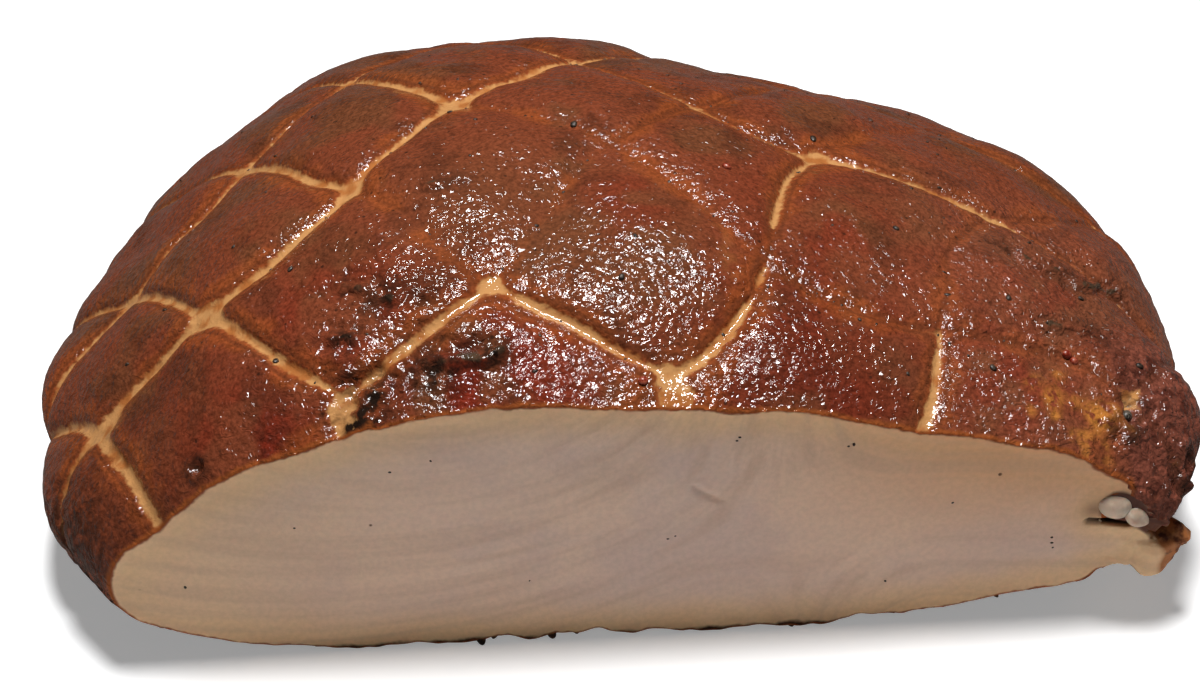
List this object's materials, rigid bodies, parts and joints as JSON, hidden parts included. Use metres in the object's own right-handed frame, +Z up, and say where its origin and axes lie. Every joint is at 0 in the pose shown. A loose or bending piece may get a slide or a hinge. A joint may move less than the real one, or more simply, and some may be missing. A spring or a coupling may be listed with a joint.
{
  "type": "smoked turkey breast",
  "caption": "Half of a smoked turkey breast, skin side up, with the imprint of an elastic net on its browned crust and a flat cut along its length.",
  "frame": {"origin": "under the middle of the breast's box, on the surface that it rests on", "axes": "+X along the cut towards the thin end, +Y from the cut face towards the back, +Z up"},
  "size_m": [0.253, 0.1896, 0.0801],
  "materials": {
    "smoked_crust": "wet, glossy mahogany-brown skin with paler net lines; the cut face is pale, matt meat"
  },
  "bodies": {
    "root": {"turkey_breast": "smoked_crust"}
  },
  "joints": []
}
